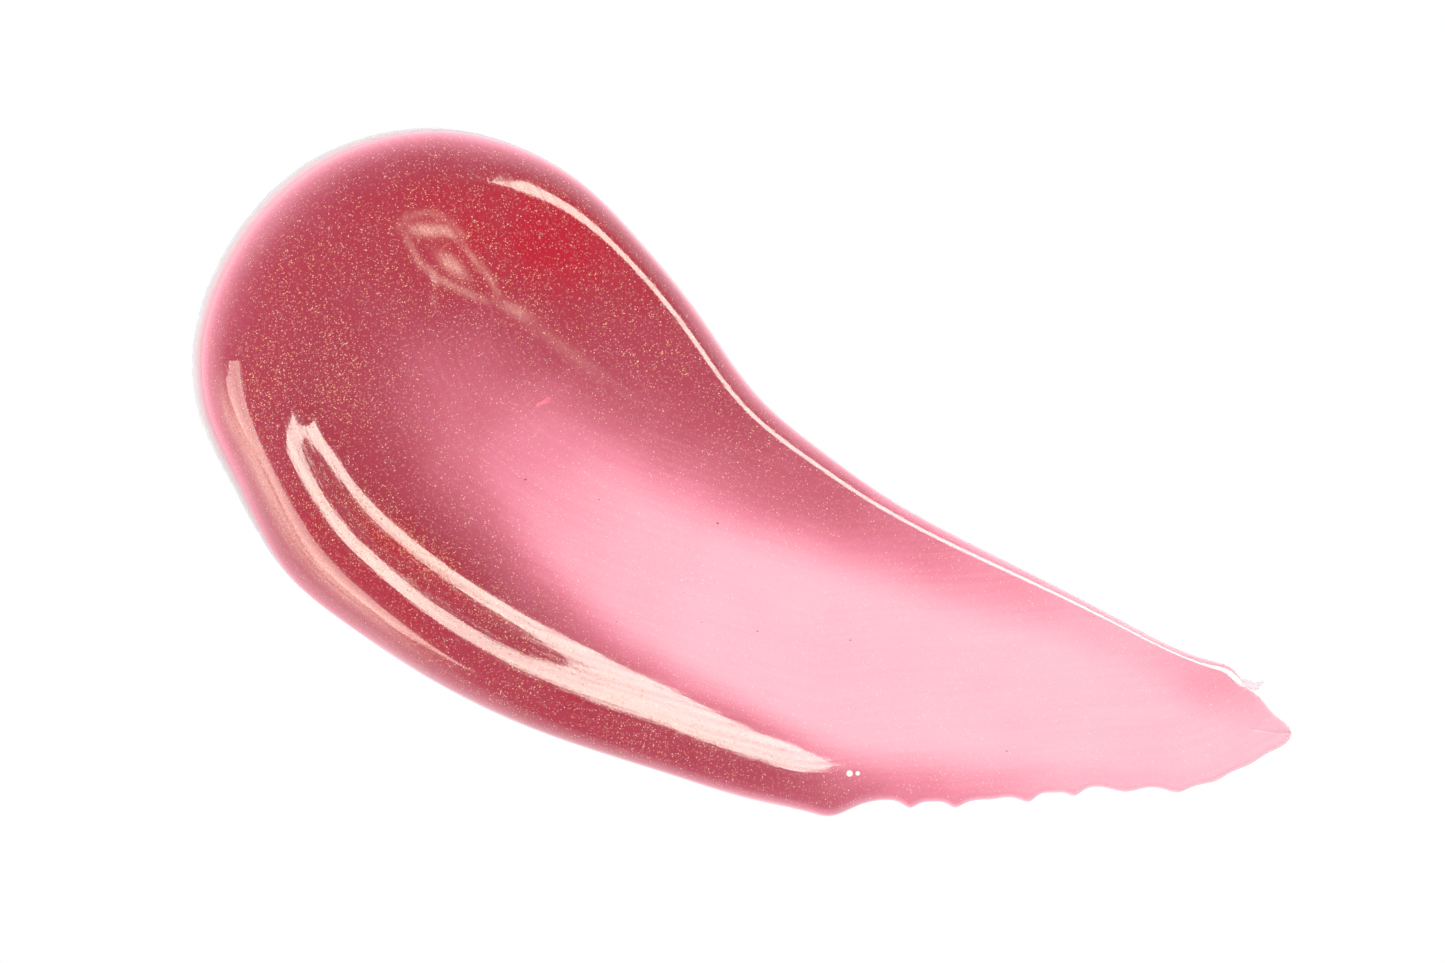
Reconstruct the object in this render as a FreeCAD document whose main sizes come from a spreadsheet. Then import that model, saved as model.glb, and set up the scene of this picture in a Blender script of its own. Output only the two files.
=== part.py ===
"""A smear of shimmering lip gloss: a dab of tinted gel put down on a flat surface and dragged out thin.

The gel is one liquid, held here as the bodies that the stroke leaves: a thin film over the whole
footprint, the deep pool of the head, a thick roll along the near edge and a thinner one along the far
edge, and the curl where the applicator was lifted. A clear rim of oil has bled out of the head and a
clear spur out of the tail, and the gel carries gold and pearl mica flakes, dark grains, a streak of
undispersed pigment and two air bubbles.

Frame: millimetres, +Z up, +X along the smear towards its tail, +Y towards the far edge. The origin is
the middle of the footprint's box, on the face that the smear rests on.
"""

import FreeCAD, Part

import math
import os

V = FreeCAD.Vector

# alias, value in millimetres (or a count), what it is
SIZES = [
    ("smear_length", 50.0, "along X, head to tail"),
    ("smear_width", 31.3, "along Y, near edge to far edge"),
    ("film_depth", 0.30, "the sheet of gel under everything"),
    ("rim_width", 0.42, "clear oil around the head"),
    ("rim_depth", 0.10, "clear oil around the head"),
    ("ripple_height", 0.13, "scallops along the tail's near edge"),
    ("ripple_count", 7, "scallops along the tail's near edge"),
    ("skirt_width", 0.75, "bare film between the edge and a roll or the pool"),
    ("pool_length", 17.6, "head pool along X"),
    ("pool_breadth", 15.6, "head pool along Y"),
    ("pool_rise", 1.35, "head pool above the film"),
    ("near_breadth", 4.4, "near roll, at its widest"),
    ("near_rise", 1.85, "near roll above the film, at its highest"),
    ("far_breadth", 3.4, "far roll, at its widest"),
    ("far_rise", 1.30, "far roll above the film, at its highest"),
    ("curl_length", 2.6, "curl left by the applicator"),
    ("curl_breadth", 1.3, "curl left by the applicator"),
    ("curl_rise", 0.30, "curl above the pool's own height"),
    ("spur_length", 1.30, "clear spur at the tail, with its hidden root"),
    ("spur_breadth", 0.62, "clear spur at the tail, across its root"),
    ("spur_depth", 0.08, "clear spur at the tail"),
    ("bubble_radius", 0.16, "larger air bubble"),
    ("bubble_gap", 0.10, "between the two bubbles"),
    ("gold_across", 0.17, "gold flake, across its flats"),
    ("gold_count", 48, "gold flakes in the open film"),
    ("pearl_across", 0.11, "pearl flake, across its flats"),
    ("pearl_count", 32, "pearl flakes in the open film"),
    ("flake_thickness", 0.02, "mica plate"),
    ("grain_radius", 0.07, "largest dark grain"),
    ("streak_length", 1.30, "streak of undispersed pigment"),
    ("streak_breadth", 0.36, "streak of undispersed pigment"),
    ("streak_rise", 0.10, "streak above the pool's own height"),
]

# The footprint without its scallops, as shares of half the length and half the width, anticlockwise from
# the near corner, where the near roll runs out, round the tail, the far edge and the head.
NEAR_CORNER = [(0.125, -0.990), (0.162, -1.0), (0.192, -0.984), (0.219, -0.963)]
TAIL_FROM, TAIL_TO = (0.262, -0.962), (0.830, -0.916)
TAIL_AND_HEAD = [
    (0.879, -0.880), (0.925, -0.848), (0.957, -0.816), (0.990, -0.787), (1.0, -0.758), (0.986, -0.726),
    (0.966, -0.700), (0.935, -0.639), (0.910, -0.604), (0.893, -0.572), (0.855, -0.548),
    (0.690, -0.430), (0.470, -0.250), (0.250, -0.058), (0.144, 0.064), (0.032, 0.218),
    (-0.075, 0.455), (-0.187, 0.676), (-0.296, 0.846), (-0.404, 0.944), (-0.540, 0.998),
    (-0.676, 0.977), (-0.790, 0.900), (-0.893, 0.753), (-0.966, 0.560), (-1.0, 0.330),
    (-0.984, 0.150), (-0.930, -0.030), (-0.830, -0.290), (-0.715, -0.445), (-0.570, -0.598),
    (-0.390, -0.740), (-0.125, -0.882), (0.020, -0.952),
]

# Where along its own side each roll has a section, and what share of its full breadth and rise it has there.
NEAR_STATIONS = [(-0.984, 0.150, 0.62, 0.62), (-0.930, -0.030, 0.92, 0.86), (-0.830, -0.290, 1.0, 1.0),
                 (-0.715, -0.445, 1.0, 1.0), (-0.570, -0.598, 0.96, 0.98), (-0.390, -0.740, 0.90, 0.94),
                 (-0.125, -0.882, 0.76, 0.84), (0.020, -0.952, 0.60, 0.70), (0.125, -0.990, 0.42, 0.50)]
FAR_STATIONS = [(-0.404, 0.944, 0.70, 0.75), (-0.296, 0.846, 0.90, 0.95), (-0.187, 0.676, 1.0, 1.0),
                (-0.075, 0.455, 1.0, 1.0), (0.032, 0.218, 0.94, 0.96), (0.250, -0.058, 0.80, 0.84),
                (0.470, -0.250, 0.62, 0.66), (0.690, -0.430, 0.42, 0.45), (0.862, -0.555, 0.22, 0.26)]

# Where the clear rim starts and stops, how many steps draw its inner side, and its ends' share of its width.
RIM_FROM, RIM_TO = (-0.404, 0.944), (-0.830, -0.290)
RIM_STEPS = 24
RIM_END_SHARE = 0.3

# Places of the small pieces, as shares of half the length and half the width.
POOL_AT = (-0.590, 0.420)
SPUR_AT = (0.926, -0.618)
BUBBLE_AT = (0.196, -0.874)
GRAINS_AT = [(-0.2590, -0.080, 0.60), (-0.0430, -0.149, 0.80), (0.0290, -0.462, 0.70), (0.1980, -0.488, 0.70),
             (-0.2270, -0.434, 0.60), (-0.0720, -0.436, 0.55), (0.4820, -0.810, 0.65)]

# Places that go with the pool, from its middle, as shares of half its length and half its breadth: two on
# its surface, and the largest grain just outside it.
CURL_ON_POOL = (0.180, 0.414)
STREAK_ON_POOL = (0.661, -0.430)
GRAIN_BY_POOL = (0.5605, -0.8868)

# The film that no roll or pool covers, as shares again: its middle, its reach and how it slopes to the tail.
FILM_MIDDLE, FILM_REACH, FILM_SLOPE = (0.20, -0.42), (0.62, 0.34), 0.36
SCATTER_SPREAD = 1.6

# The spur's corners, as shares of half its length and half its breadth, from its root to its blunt tip.
SPUR_CORNERS = [(-1.0, -1.0), (0.1, -0.9), (0.45, -0.1), (0.95, 0.15), (1.0, 0.75), (0.25, 0.55), (-1.0, 0.9)]

CURL_TURN = -52.0
STREAK_TURN = 38.0
SPUR_TURN = 2.0
SMALL_BUBBLE = 0.7
GOLDEN_TURN = math.radians(137.50776)


def make_sheet(doc):
    """The driving dimensions: one row each, with the value's cell named by its alias."""
    sheet = doc.addObject("Spreadsheet::Sheet", "sizes")
    for row, (alias, value, note) in enumerate(SIZES, start=1):
        sheet.set(f"A{row}", alias)
        sheet.set(f"B{row}", str(value))
        sheet.set(f"C{row}", note)
        sheet.setAlias(f"B{row}", alias)
    doc.recompute()
    return sheet


def place(size, shares):
    """A point of the footprint from its shares of half the length and half the width."""
    return V(shares[0] * size.smear_length / 2, shares[1] * size.smear_width / 2, 0)


def place_by_pool(size, shares):
    """A point from its shares of the pool's half length and half breadth, from the pool's middle."""
    return place(size, POOL_AT) + V(shares[0] * size.pool_length / 2, shares[1] * size.pool_breadth / 2, 0)


def edge_points(size):
    """The footprint's points: the near corner, the scalloped run of the tail, then the smooth rest."""
    start, end = place(size, TAIL_FROM), place(size, TAIL_TO)
    steps = 2 * int(size.ripple_count)
    run = []
    for i in range(steps + 1):
        bulge = size.ripple_height * (1 if i % 2 else -1)
        run.append(start + (end - start) * (i / steps) + V(0, -bulge, 0))
    corner, rest = ([place(size, p) for p in points] for points in (NEAR_CORNER, TAIL_AND_HEAD))
    return corner + run + rest


def smooth_loop(points):
    """A closed smooth curve through the points."""
    curve = Part.BSplineCurve()
    curve.interpolate(Points=points, PeriodicFlag=True)
    return curve


def inward(curve, u):
    """The unit normal towards the inside of an anticlockwise curve."""
    along = V(*curve.tangent(u)[0])
    return V(-along.y, along.x, 0)


def split_edge(size, outline):
    """The outline's rim stretch, the rest of it, and the seam where the film meets the rim.

    The rim runs from its start on the far edge, round the head, to its end on the near edge. It is
    widest halfway and keeps a share of its width at both ends.
    """
    first, last = outline.FirstParameter, outline.LastParameter
    start = outline.parameter(place(size, RIM_FROM))
    stop = outline.parameter(place(size, RIM_TO))
    inner = []
    for i in range(RIM_STEPS + 1):
        share = i / RIM_STEPS
        u = start + (stop - start) * share
        width = size.rim_width * (RIM_END_SHARE + (1 - RIM_END_SHARE) * math.sin(math.pi * share))
        inner.append(outline.value(u) + inward(outline, u) * width)
    seam = Part.BSplineCurve()
    seam.interpolate(Points=inner)
    rim_side = outline.toShape(start, stop)
    rest = [outline.toShape(stop, last), outline.toShape(first, start)]
    jogs = [Part.makeLine(outline.value(start), inner[0]), Part.makeLine(inner[-1], outline.value(stop))]
    return rim_side, rest, seam.toShape(), jogs


def shape_node(doc, label, shape):
    node = doc.addObject("Part::Feature", label)
    node.Label = label
    node.Shape = shape
    return node


def rolls_section(body, curve, point, breadth, rise, skirt, bottom, index):
    """A sketch of one section of a roll: half an ellipse standing on the film, square to the edge."""
    u = curve.parameter(point)
    foot = curve.value(u)
    across = inward(curve, u)
    centre = foot + across * (skirt + breadth / 2) + V(0, 0, bottom)
    turn = FreeCAD.Rotation(across, V(0, 0, 1), across.cross(V(0, 0, 1)), "XYZ")
    sketch = body.newObject("Sketcher::SketchObject", f"{body.Name}_section_{index}")
    plane = next(f for f in body.Origin.OriginFeatures if f.Role == "XY_Plane")
    sketch.AttachmentSupport = [(plane, "")]
    sketch.MapMode = "FlatFace"
    sketch.AttachmentOffset = FreeCAD.Placement(centre, turn)
    half = breadth / 2
    if half >= rise:
        oval = Part.Ellipse(V(half, 0, 0), V(0, rise, 0), V(0, 0, 0))
        arc = Part.ArcOfEllipse(oval, 0, math.pi)
    else:
        oval = Part.Ellipse(V(0, rise, 0), V(-half, 0, 0), V(0, 0, 0))
        arc = Part.ArcOfEllipse(oval, -math.pi / 2, math.pi / 2)
    sketch.addGeometry(arc, False)
    sketch.addGeometry(Part.LineSegment(V(-half, 0, 0), V(half, 0, 0)), False)
    return sketch


def make_roll(doc, label, size, curve, stations, breadth, rise):
    """A roll of gel along one edge: a loft through its sections, standing on the film."""
    body = doc.addObject("PartDesign::Body", label)
    body.Label = label
    sections = []
    for i, (sx, sy, wide, high) in enumerate(stations):
        sections.append(rolls_section(
            body, curve, place(size, (sx, sy)), breadth * wide, rise * high,
            size.skirt_width, size.film_depth, i))
    loft = body.newObject("PartDesign::AdditiveLoft", label + "_loft")
    loft.Profile = sections[0]
    loft.Sections = sections[1:]
    loft.Ruled = False
    body.Tip = loft
    return body


def make_half_ovoid(doc, name, length, breadth, rise):
    """The upper half of an ellipsoid, with its sizes bound to the sheet."""
    dome = doc.addObject("Part::Ellipsoid", name)
    dome.setExpression("Radius2", f"{length} / 2")
    dome.setExpression("Radius3", f"{breadth} / 2")
    dome.setExpression("Radius1", rise)
    dome.Angle1 = 0
    dome.Angle2 = 90
    return dome


def cut_away(doc, label, base, tools):
    """The base without the pieces that stand against it."""
    for i, tool in enumerate(tools):
        last = i == len(tools) - 1
        cut = doc.addObject("Part::Cut", label if last else f"{label}_cut_{i}")
        cut.Base = base
        cut.Tool = tool
        base = cut
    base.Label = label
    return base


def trimmed(edge):
    """The edge's own stretch of its curve, as the sketcher wants it."""
    curve = edge.Curve
    if isinstance(curve, Part.Line):
        return Part.LineSegment(edge.Vertexes[0].Point, edge.Vertexes[-1].Point)
    piece = curve.copy()
    piece.segment(*edge.ParameterRange)
    return piece


def make_slab(doc, label, edges, depth):
    """A sheet on the ground plane: a sketch of its outline, padded up by a depth bound to the sheet."""
    body = doc.addObject("PartDesign::Body", label)
    body.Label = label
    sketch = body.newObject("Sketcher::SketchObject", label + "_outline")
    plane = next(f for f in body.Origin.OriginFeatures if f.Role == "XY_Plane")
    sketch.AttachmentSupport = [(plane, "")]
    sketch.MapMode = "FlatFace"
    for edge in edges:
        sketch.addGeometry(trimmed(edge), False)
    pad = body.newObject("PartDesign::Pad", label + "_pad")
    pad.Profile = sketch
    pad.setExpression("Length", f"sizes.{depth}")
    body.Tip = pad
    return body


def spur_edges(size):
    """The clear spur's outline: a shard with uneven corners, its root lying under the film's edge."""
    half_long, half_wide = size.spur_length / 2, size.spur_breadth / 2
    turn = FreeCAD.Rotation(V(0, 0, 1), SPUR_TURN)
    middle = place(size, SPUR_AT)
    corners = [middle + turn.multVec(V(a * half_long, b * half_wide, 0)) for a, b in SPUR_CORNERS]
    return [Part.makeLine(p, q) for p, q in zip(corners, corners[1:] + corners[:1])]


def hexagon_plate(centre, across, thickness, turn):
    """A mica flake: a hexagonal plate lying flat."""
    reach = across / math.sqrt(3)
    corners = [centre + V(math.cos(turn + k * math.pi / 3), math.sin(turn + k * math.pi / 3), 0) * reach
               for k in range(6)]
    wire = Part.makePolygon(corners + corners[:1])
    return Part.Face(wire).extrude(V(0, 0, thickness))


def scattered(size, count, phase, top, reach, taken):
    """Places on the open film by the golden angle, each clear of the bodies that stand on it."""
    found, n = [], 0
    while len(found) < count:
        n += 1
        radius = math.sqrt((n + phase) / (count * SCATTER_SPREAD)) % 1.0
        angle = (n + phase) * GOLDEN_TURN
        spot = place(size, (FILM_MIDDLE[0] + FILM_REACH[0] * radius * math.cos(angle),
                            FILM_MIDDLE[1] + FILM_REACH[1] * radius * math.sin(angle)
                            - FILM_SLOPE * radius * math.cos(angle)))
        spot.z = top
        clear = all((spot - other).Length > reach + room for other, room in taken["spots"])
        if clear and all(Part.Vertex(spot).distToShape(s)[0] > reach for s in taken["solids"]):
            found.append(spot)
            taken["spots"].append((spot, reach))
    return found


def make_on_pool(doc, label, size, name, shares, turn, pool, others):
    """A low ovoid that straddles the pool's surface, of which only what stands above it is kept."""
    pool_top = size.film_depth + size.pool_rise * math.sqrt(1 - shares[0] ** 2 - shares[1] ** 2)
    middle = place_by_pool(size, shares) + V(0, 0, pool_top)
    ovoid = doc.addObject("Part::Ellipsoid", label + "_ovoid")
    ovoid.setExpression("Radius1", f"sizes.{name}_rise")
    ovoid.setExpression("Radius2", f"sizes.{name}_length / 2")
    ovoid.setExpression("Radius3", f"sizes.{name}_breadth / 2")
    ovoid.Placement = FreeCAD.Placement(middle, FreeCAD.Rotation(V(0, 0, 1), turn))
    return cut_away(doc, label, ovoid, [pool] + others)


def build():
    doc = FreeCAD.newDocument("gloss_smear")
    size = make_sheet(doc)
    outline = smooth_loop(edge_points(size))
    rim_side, rest, seam, jogs = split_edge(size, outline)

    film = make_slab(doc, "contact_film", [seam, jogs[1]] + rest + [jogs[0]], "film_depth")
    rim = make_slab(doc, "clear_rim", [rim_side, jogs[1], seam, jogs[0]], "rim_depth")
    spur_slab = make_slab(doc, "spur_slab", spur_edges(size), "spur_depth")
    spur = cut_away(doc, "tail_spur", spur_slab, [film])

    near = make_roll(doc, "near_roll", size, outline, NEAR_STATIONS, size.near_breadth, size.near_rise)
    far = make_roll(doc, "far_roll", size, outline, FAR_STATIONS, size.far_breadth, size.far_rise)

    dome = make_half_ovoid(doc, "pool_dome", "sizes.pool_length", "sizes.pool_breadth", "sizes.pool_rise")
    dome.Placement.Base = place(size, POOL_AT) + V(0, 0, size.film_depth)
    pool = cut_away(doc, "head_pool", dome, [near, far])
    doc.recompute()

    curl = make_on_pool(doc, "applicator_curl", size, "curl", CURL_ON_POOL, CURL_TURN, pool, [near, far])
    streak = make_on_pool(doc, "pigment_streak", size, "streak", STREAK_ON_POOL, STREAK_TURN, pool, [near, far])
    doc.recompute()

    top = size.film_depth
    grain_spots = [(place_by_pool(size, GRAIN_BY_POOL), size.grain_radius)]
    grain_spots += [(place(size, (x, y)), size.grain_radius * share) for x, y, share in GRAINS_AT]
    grains = shape_node(doc, "dark_grains", Part.makeCompound([
        Part.makeSphere(radius, spot + V(0, 0, top + radius)) for spot, radius in grain_spots]))

    big, small = size.bubble_radius, size.bubble_radius * SMALL_BUBBLE
    first = place(size, BUBBLE_AT) + V(0, 0, top + big)
    second = place(size, BUBBLE_AT) + V(big + size.bubble_gap + small, 0, top + small)
    bubbles = shape_node(doc, "air_bubbles", Part.makeCompound([
        Part.makeSphere(big, first), Part.makeSphere(small, second)]))
    doc.recompute()

    taken = {"solids": [near.Shape, far.Shape, pool.Shape, bubbles.Shape],
             "spots": [(spot + V(0, 0, top), radius) for spot, radius in grain_spots]}
    flakes = []
    for label, count, across, phase in (("gold_flakes", size.gold_count, size.gold_across, 0.5),
                                        ("pearl_flakes", size.pearl_count, size.pearl_across, 0.2)):
        spots = scattered(size, int(count), phase, top, across, taken)
        plates = [hexagon_plate(s, across, size.flake_thickness, i * GOLDEN_TURN) for i, s in enumerate(spots)]
        flakes.append(shape_node(doc, label, Part.makeCompound(plates)))

    doc.recompute()
    return doc, [film, rim, spur, near, far, pool, curl, grains, streak, bubbles] + flakes


def check_and_write(doc, nodes):
    """Every object recomputed without an error, every node a valid closed shape, then one STEP file each."""
    for obj in doc.Objects:
        if "Invalid" in obj.State or "Error" in obj.State:
            raise RuntimeError(f"{obj.Label} is {obj.State}")
    os.makedirs("parts", exist_ok=True)
    for node in nodes:
        shape = node.Shape
        if shape.isNull() or not shape.isValid() or not shape.Solids:
            raise RuntimeError(f"{node.Label} has no valid solid")
        shape.exportStep(os.path.join("parts", node.Label + ".step"))
        box = shape.optimalBoundingBox()
        print(f"{node.Label}: {len(shape.Solids)} solids, {shape.Volume:.4f} mm3, "
              f"x {box.XMin:.2f} {box.XMax:.2f}, y {box.YMin:.2f} {box.YMax:.2f}, z {box.ZMin:.2f} {box.ZMax:.2f}")


check_and_write(*build())
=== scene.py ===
"""The looks of a smear of shimmering lip gloss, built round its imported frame.

Everything is in metres in the frame's own axes: +X along the smear towards its tail, +Y towards the far
edge, +Z up. Lengths in this file are written in millimetres and turned into metres by MM.
"""

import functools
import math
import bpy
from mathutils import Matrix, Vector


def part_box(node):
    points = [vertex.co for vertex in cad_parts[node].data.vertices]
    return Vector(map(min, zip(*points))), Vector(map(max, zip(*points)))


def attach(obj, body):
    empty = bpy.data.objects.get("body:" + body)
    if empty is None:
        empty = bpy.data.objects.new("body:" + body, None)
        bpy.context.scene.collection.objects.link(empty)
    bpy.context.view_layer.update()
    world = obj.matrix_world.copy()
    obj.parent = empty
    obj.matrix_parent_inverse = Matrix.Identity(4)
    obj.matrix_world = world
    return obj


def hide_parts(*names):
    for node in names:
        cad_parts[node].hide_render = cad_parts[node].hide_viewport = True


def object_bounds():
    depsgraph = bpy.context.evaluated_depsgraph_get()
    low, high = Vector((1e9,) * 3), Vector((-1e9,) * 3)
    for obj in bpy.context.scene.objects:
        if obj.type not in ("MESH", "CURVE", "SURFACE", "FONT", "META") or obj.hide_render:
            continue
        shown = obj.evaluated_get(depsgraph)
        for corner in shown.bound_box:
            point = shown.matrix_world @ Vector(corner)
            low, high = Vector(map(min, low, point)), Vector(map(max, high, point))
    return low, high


bl_info = {
    "name": "Lip gloss smear",
    "version": (1, 0, 0),
    "blender": (4, 5, 0),
    "location": "3D View > Sidebar > Gloss",
    "description": "A smear of shimmering gel with its clear rim, mica flakes, grains and bubbles",
    "category": "Add Mesh",
}

import bmesh
import bpy
import numpy as np
from bpy.props import FloatProperty, FloatVectorProperty, IntProperty, PointerProperty
from mathutils import Vector

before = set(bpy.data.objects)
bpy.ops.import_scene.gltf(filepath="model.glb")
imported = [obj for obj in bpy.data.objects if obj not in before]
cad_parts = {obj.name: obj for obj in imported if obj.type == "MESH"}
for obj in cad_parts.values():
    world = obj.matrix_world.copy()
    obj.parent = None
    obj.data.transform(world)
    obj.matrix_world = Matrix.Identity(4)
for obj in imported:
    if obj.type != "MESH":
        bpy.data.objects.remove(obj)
CAD_LOW, CAD_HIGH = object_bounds()

MM = 0.001
HALF_LONG = (CAD_HIGH.x - CAD_LOW.x) / 2 / MM
HALF_WIDE = (CAD_HIGH.y - CAD_LOW.y) / 2 / MM
BODY = "root"

# The footprint, as shares of half its length and half its width, from the tip of the head. The near side
# runs along the near edge to the tip of the tail, and the far side goes on from there back to the head.
NEAR_SIDE = [
    (-1.0, 0.330), (-0.984, 0.150), (-0.930, -0.030), (-0.830, -0.290), (-0.715, -0.445), (-0.570, -0.598),
    (-0.390, -0.740), (-0.125, -0.882), (0.020, -0.952), (0.125, -0.990), (0.162, -1.0), (0.192, -0.984),
    (0.219, -0.965), (0.262, -0.953), (0.290, -0.962), (0.306, -0.975), (0.322, -0.964), (0.350, -0.957),
    (0.372, -0.962), (0.388, -0.974), (0.405, -0.963), (0.455, -0.950), (0.500, -0.948), (0.523, -0.957),
    (0.540, -0.938), (0.570, -0.931), (0.590, -0.933), (0.604, -0.940), (0.622, -0.924), (0.655, -0.915),
    (0.700, -0.928), (0.735, -0.917), (0.765, -0.920), (0.794, -0.930), (0.820, -0.914), (0.862, -0.897),
    (0.890, -0.872), (0.925, -0.848), (0.957, -0.816), (0.990, -0.787), (1.0, -0.758),
]
FAR_SIDE = [
    (0.986, -0.726), (0.966, -0.700), (0.935, -0.639), (0.910, -0.604), (0.893, -0.572), (0.855, -0.548),
    (0.690, -0.430), (0.470, -0.250), (0.250, -0.058), (0.144, 0.064), (0.032, 0.218), (-0.075, 0.455),
    (-0.187, 0.676), (-0.296, 0.846), (-0.404, 0.944), (-0.540, 0.998), (-0.676, 0.977), (-0.790, 0.900),
    (-0.893, 0.753), (-0.966, 0.560),
]

# The gel beside each side, by share of the side's length: how far in from the edge the rounded outer flank
# reaches, where the inner shoulder starts and where it ends, and the level it comes down from, all four in
# millimetres. The same form holds the surface's height and, apart from it, the tint: the depth of gel that
# light passes through, which also counts what the flanks send sideways.
NEAR_HEIGHT = [
    (0.00, 2.4, 2.6, 6.0, 1.40), (0.045, 2.2, 2.2, 5.2, 1.60), (0.09, 2.0, 2.0, 4.8, 2.02),
    (0.155, 2.2, 2.2, 5.3, 2.15), (0.22, 2.1, 2.1, 5.5, 2.15), (0.285, 1.8, 1.8, 5.3, 2.12),
    (0.35, 1.7, 1.7, 5.2, 2.03), (0.415, 1.5, 1.5, 5.1, 1.80), (0.48, 1.0, 1.05, 5.0, 1.56),
    (0.545, 0.9, 0.9, 4.2, 1.32), (0.61, 0.8, 0.8, 3.6, 1.18), (0.645, 0.8, 0.8, 3.4, 1.00),
    (0.675, 0.7, 0.7, 3.0, 0.66), (0.74, 0.5, 0.5, 2.4, 0.48), (0.805, 0.35, 0.4, 2.0, 0.34),
    (0.87, 0.3, 0.3, 1.5, 0.28), (1.00, 0.3, 0.3, 1.5, 0.26),
]
FAR_HEIGHT = [
    (0.00, 2.4, 2.6, 6.2, 1.70), (0.09, 2.6, 3.0, 7.0, 1.75), (0.155, 3.0, 3.4, 8.0, 1.75),
    (0.22, 3.3, 3.5, 8.5, 1.75), (0.265, 3.1, 3.3, 9.5, 1.78), (0.305, 2.8, 3.0, 9.5, 1.77),
    (0.355, 2.2, 2.4, 9.0, 1.75), (0.415, 1.5, 1.8, 8.5, 1.65), (0.48, 1.4, 1.6, 8.0, 1.55),
    (0.545, 1.3, 1.5, 6.8, 1.35), (0.61, 1.1, 1.3, 5.4, 1.05), (0.675, 0.9, 1.1, 4.2, 0.80),
    (0.74, 0.8, 0.9, 3.4, 0.62), (0.805, 0.6, 0.7, 2.6, 0.46), (0.87, 0.4, 0.5, 1.8, 0.34),
    (0.925, 0.4, 0.5, 1.8, 0.36), (0.95, 1.7, 1.8, 2.8, 0.27), (1.00, 1.7, 1.8, 2.8, 0.26),
]
NEAR_TINT = [
    (0.00, 3.0, 3.5, 10.0, 1.95), (0.09, 2.6, 3.5, 10.0, 2.00), (0.155, 2.6, 3.5, 10.5, 2.05),
    (0.22, 2.6, 3.5, 9.9, 2.05), (0.285, 2.2, 3.0, 9.6, 2.05), (0.35, 1.6, 2.2, 8.6, 2.02),
    (0.415, 1.4, 1.8, 7.1, 1.95), (0.48, 1.4, 1.4, 5.8, 1.95), (0.545, 1.4, 1.4, 5.0, 1.70),
    (0.61, 1.1, 1.1, 4.1, 1.45), (0.645, 0.7, 0.7, 3.8, 1.20), (0.675, 0.3, 0.4, 3.0, 0.86),
    (0.74, 0.3, 0.4, 2.6, 0.66), (0.805, 0.25, 0.3, 2.2, 0.45), (0.87, 0.2, 0.2, 1.5, 0.34),
    (1.00, 0.2, 0.2, 1.5, 0.27),
]
FAR_TINT = [
    (0.00, 3.0, 4.5, 10.0, 1.95), (0.09, 3.0, 4.5, 10.0, 1.95), (0.155, 3.0, 4.5, 10.0, 1.95),
    (0.22, 2.8, 4.5, 10.0, 2.00), (0.285, 2.6, 3.4, 10.5, 2.10), (0.35, 1.5, 2.0, 10.5, 2.15),
    (0.415, 1.0, 1.8, 10.0, 2.05), (0.48, 1.0, 1.8, 9.4, 1.85), (0.545, 0.9, 1.6, 8.2, 1.50),
    (0.61, 0.8, 1.4, 6.2, 1.25), (0.675, 0.7, 1.0, 4.8, 0.95), (0.74, 0.6, 0.8, 4.0, 0.70),
    (0.805, 0.5, 0.7, 3.0, 0.50), (0.87, 0.4, 0.5, 2.2, 0.36), (0.93, 0.4, 0.9, 3.2, 0.56),
    (1.00, 0.2, 0.2, 1.5, 0.27),
]

# The steps that a table is refined to, and how many of them its averaging window reaches each way.
STATION_STEPS, STATION_BLUR = 2001, 35

# How the outer flank is rounded, by share of the side: 1 leans back as a parabola, a half stands up as an
# ellipse.
NEAR_ROUND = [(0.00, 1.0), (0.20, 0.95), (0.32, 0.62), (0.42, 0.5), (1.00, 0.5)]
FAR_ROUND = [(0.00, 1.0), (0.31, 1.0), (0.38, 0.65), (0.46, 0.58), (0.93, 0.58), (0.96, 1.0), (1.00, 1.0)]

# The same power for the tint, which stays deep nearer to the edge than the surface stays high.
NEAR_EVEN = [(0.00, 0.62), (0.08, 0.46), (0.15, 0.32), (0.50, 0.30), (0.58, 0.42), (1.00, 0.38)]
FAR_EVEN = [(0.00, 0.62), (0.20, 0.66), (0.30, 0.80), (0.40, 0.85), (0.60, 0.45), (1.00, 0.32)]

# The pool behind the rolls, at a distance in millimetres down the middle of the stroke.
POOL_APEX, POOL_TURN, POOL_BEND = (-13.5, 1.5), math.radians(-32), 4.0
POOL_HEIGHT = [(-14.0, 1.26), (-9.0, 0.96), (-6.0, 0.79), (-3.0, 0.62), (0.0, 0.52), (3.0, 0.42),
               (5.5, 0.37), (8.5, 0.30), (14.0, 0.27), (60.0, 0.26)]
POOL_TINT = [(-14.0, 2.05), (-9.0, 1.90), (-6.0, 1.56), (-3.0, 1.31), (0.0, 1.07), (3.0, 0.76), (5.5, 0.55),
             (8.5, 0.41), (14.0, 0.29), (60.0, 0.25)]

# Where the near roll dips along its crest: the middle, the reach along and across, and the turn.
TROUGH = (-13.9, -4.3), (5.0, 0.8), -0.65

# Where pigment has gathered behind the far roll, and how much tint it adds there and in the trough.
RICH_SPOT = (-8.5, 10.3), (3.4, 2.8)
RICH_TINT, TROUGH_TINT = 0.38, 0.32

# The pale streak on the head's outer near flank, a painted reflection: its distance from the edge, by share
# of the side.
STREAK_SHARE, STREAK_GAP = [0, 0.07, 0.2, 0.33], [0.8, 1.1, 1.25, 1.05]
STREAK_WIDTH, STREAK_STRENGTH = 0.34, 0.75
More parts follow.
